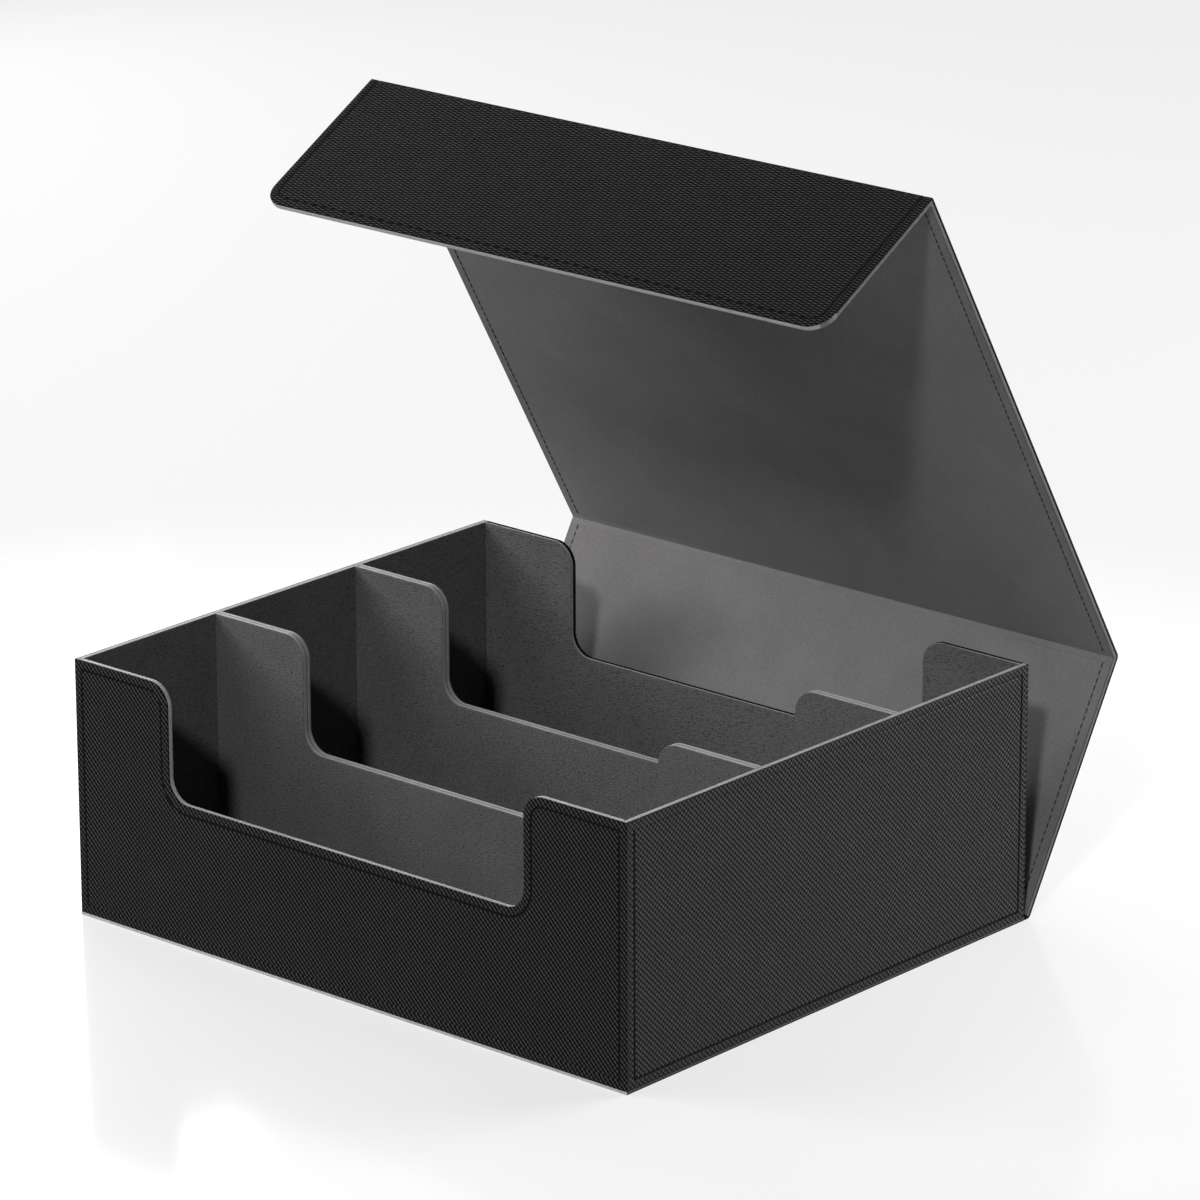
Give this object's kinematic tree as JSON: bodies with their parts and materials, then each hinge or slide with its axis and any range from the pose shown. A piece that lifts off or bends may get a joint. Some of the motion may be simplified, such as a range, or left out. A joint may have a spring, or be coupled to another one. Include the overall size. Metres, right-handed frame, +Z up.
{
  "type": "card storage box",
  "caption": "Open-topped card tray with notched dividers and a fold-over cover, its hinged back, top and magnetic front flap covered in black woven leatherette and lined in grey.",
  "frame": {"origin": "centre of the tray's underside, on the surface that it stands on", "axes": "+X to the right along the front wall, +Y from the front wall to the back, +Z up"},
  "size_m": [0.3, 0.3108, 0.322],
  "materials": {
    "covering": "matt black leatherette, woven grain",
    "lining": "grey microfibre, fine nap",
    "board": "grey board",
    "magnet": "plated disc"
  },
  "bodies": {
    "tray": {"base_cover": "covering", "base_board": "board", "floor_board": "board", "front_wall_board": "board", "rear_wall_board": "board", "left_wall_board": "board", "right_wall_board": "board", "front_wall_cover": "covering", "rear_wall_cover": "covering", "left_wall_cover": "covering", "right_wall_cover": "covering", "front_wall_lining": "lining", "rear_wall_lining": "lining", "left_wall_lining": "lining", "right_wall_lining": "lining", "front_divider_front_board": "board", "front_divider_front_lining": "lining", "front_divider_rear_board": "board", "front_divider_rear_lining": "lining", "rear_divider_front_board": "board", "rear_divider_front_lining": "lining", "rear_divider_rear_board": "board", "rear_divider_rear_lining": "lining", "front_lane_lining": "lining", "middle_lane_lining": "lining", "rear_lane_lining": "lining", "tray_magnets": "magnet"},
    "back_panel": {"back_panel_board": "board", "back_panel_cover": "covering", "back_panel_lining": "lining", "back_fold_cover": "covering"},
    "top_panel": {"top_panel_board": "board", "top_panel_cover": "covering", "top_panel_lining": "lining", "top_fold_cover": "covering", "top_fold_lining": "lining"},
    "front_flap": {"flap_board": "board", "flap_cover": "covering", "flap_lining": "lining", "flap_fold_cover": "covering", "flap_fold_lining": "lining", "flap_magnets": "magnet"}
  },
  "joints": [
    {"name": "back_hinge", "type": "hinge", "parent": "tray", "child": "back_panel", "pos_m": [0, 0.1286, 0], "axis": [-1, 0, 0], "range_deg": [-30, 60], "deforming": ["back_fold_cover"]},
    {"name": "top_hinge", "type": "hinge", "parent": "back_panel", "child": "top_panel", "pos_m": [0, 0.1862, 0.09977], "axis": [-1, 0, 0], "range_deg": [-30, 60], "deforming": ["top_fold_cover", "top_fold_lining"]},
    {"name": "flap_hinge", "type": "hinge", "parent": "top_panel", "child": "front_flap", "pos_m": [0, 0.0576, 0.32251], "axis": [-1, 0, 0], "range_deg": [0, 90], "deforming": ["flap_fold_cover", "flap_fold_lining"]}
  ]
}
